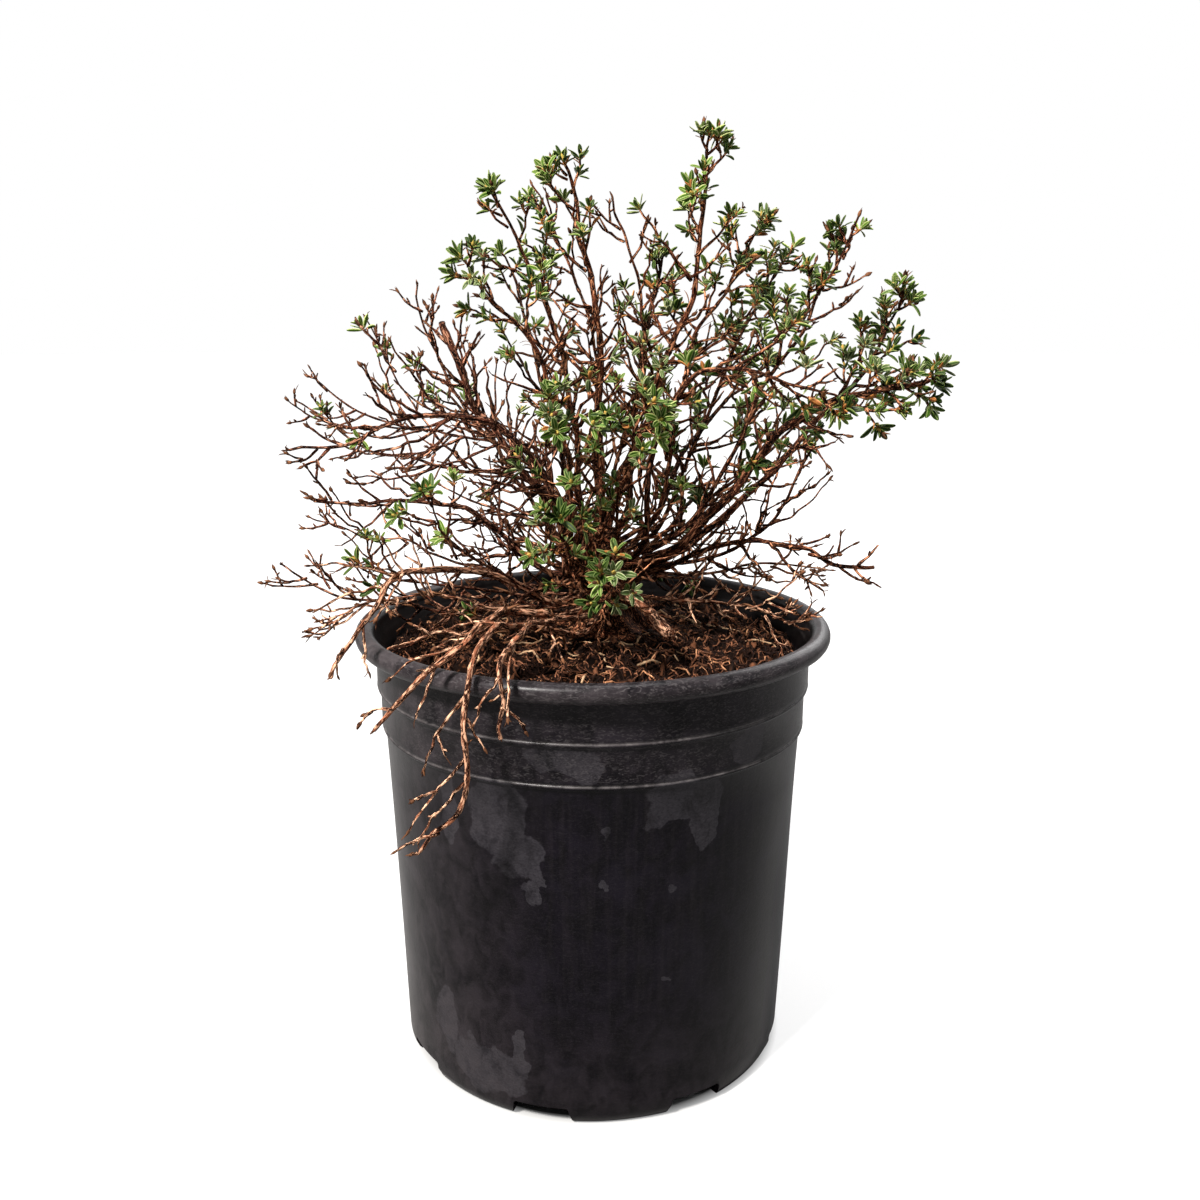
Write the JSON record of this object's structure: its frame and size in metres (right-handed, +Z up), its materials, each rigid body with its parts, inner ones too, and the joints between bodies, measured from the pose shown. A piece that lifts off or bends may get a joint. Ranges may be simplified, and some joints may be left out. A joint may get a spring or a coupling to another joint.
{
  "type": "potted dwarf rhododendron",
  "caption": "Small-leaved evergreen shrub with bare brown twigs and whorls of leaves at their tips, growing in potting mix in a round black nursery pot with a rolled rim.",
  "frame": {"origin": "centre of the pot's flat underside", "axes": "+Z up, +X to the viewer's right in the picture, +Y away from the viewer"},
  "size_m": [0.3296, 0.2812, 0.4613],
  "materials": {
    "pot": "black moulded plastic, dusty and water-stained",
    "mix": "dark fibrous bark potting mix",
    "bark": "rough reddish-brown peeling bark",
    "twigs": "thin rough brown twigs",
    "foliage": "small leathery green leaves on brown twigs"
  },
  "bodies": {
    "root": {"bough_back_crest_right": "bark", "bough_back_right": "bark", "bough_crest_left": "bark", "bough_crest_middle": "bark", "bough_crest_right": "bark", "bough_left_arm": "bark", "bough_left_low": "bark", "bough_left_thick": "bark", "bough_right_arm": "bark", "bough_right_bent": "bark", "bough_right_low": "bark", "bough_right_reach": "bark", "bough_shoulder_left": "bark", "cut_stub": "bark", "mass_back_crest_left": "foliage", "mass_back_crest_right": "foliage", "mass_back_left": "twigs", "mass_back_low_left": "twigs", "mass_back_low_right": "twigs", "mass_back_right": "foliage", "mass_centre_tuft_left": "foliage", "mass_centre_tuft_right": "foliage", "mass_crest_left": "foliage", "mass_crest_middle": "foliage", "mass_crest_right": "foliage", "mass_crest_right_back": "foliage", "mass_front_tuft_left": "foliage", "mass_front_tuft_right": "foliage", "mass_hang_front": "twigs", "mass_hang_left": "twigs", "mass_hang_middle": "twigs", "mass_left_arm": "twigs", "mass_left_back": "twigs", "mass_left_droop": "twigs", "mass_left_fan": "twigs", "mass_left_fan_back": "twigs", "mass_left_low": "twigs", "mass_left_low_back": "twigs", "mass_left_rim": "twigs", "mass_left_sprig": "foliage", "mass_left_thick": "twigs", "mass_left_trail": "twigs", "mass_left_tuft": "foliage", "mass_left_whips": "twigs", "mass_right_arm": "foliage", "mass_right_back_low": "foliage", "mass_right_bent": "foliage", "mass_right_high": "foliage", "mass_right_low": "twigs", "mass_right_reach": "foliage", "mass_right_rim": "twigs", "mass_right_rise": "twigs", "mass_right_spire": "twigs", "mass_right_trail": "twigs", "mass_shoulder_left": "foliage", "mass_spires_middle": "twigs", "mass_spires_right": "twigs", "pot": "pot", "potting_mix": "mix", "trunk": "bark"}
  },
  "joints": []
}
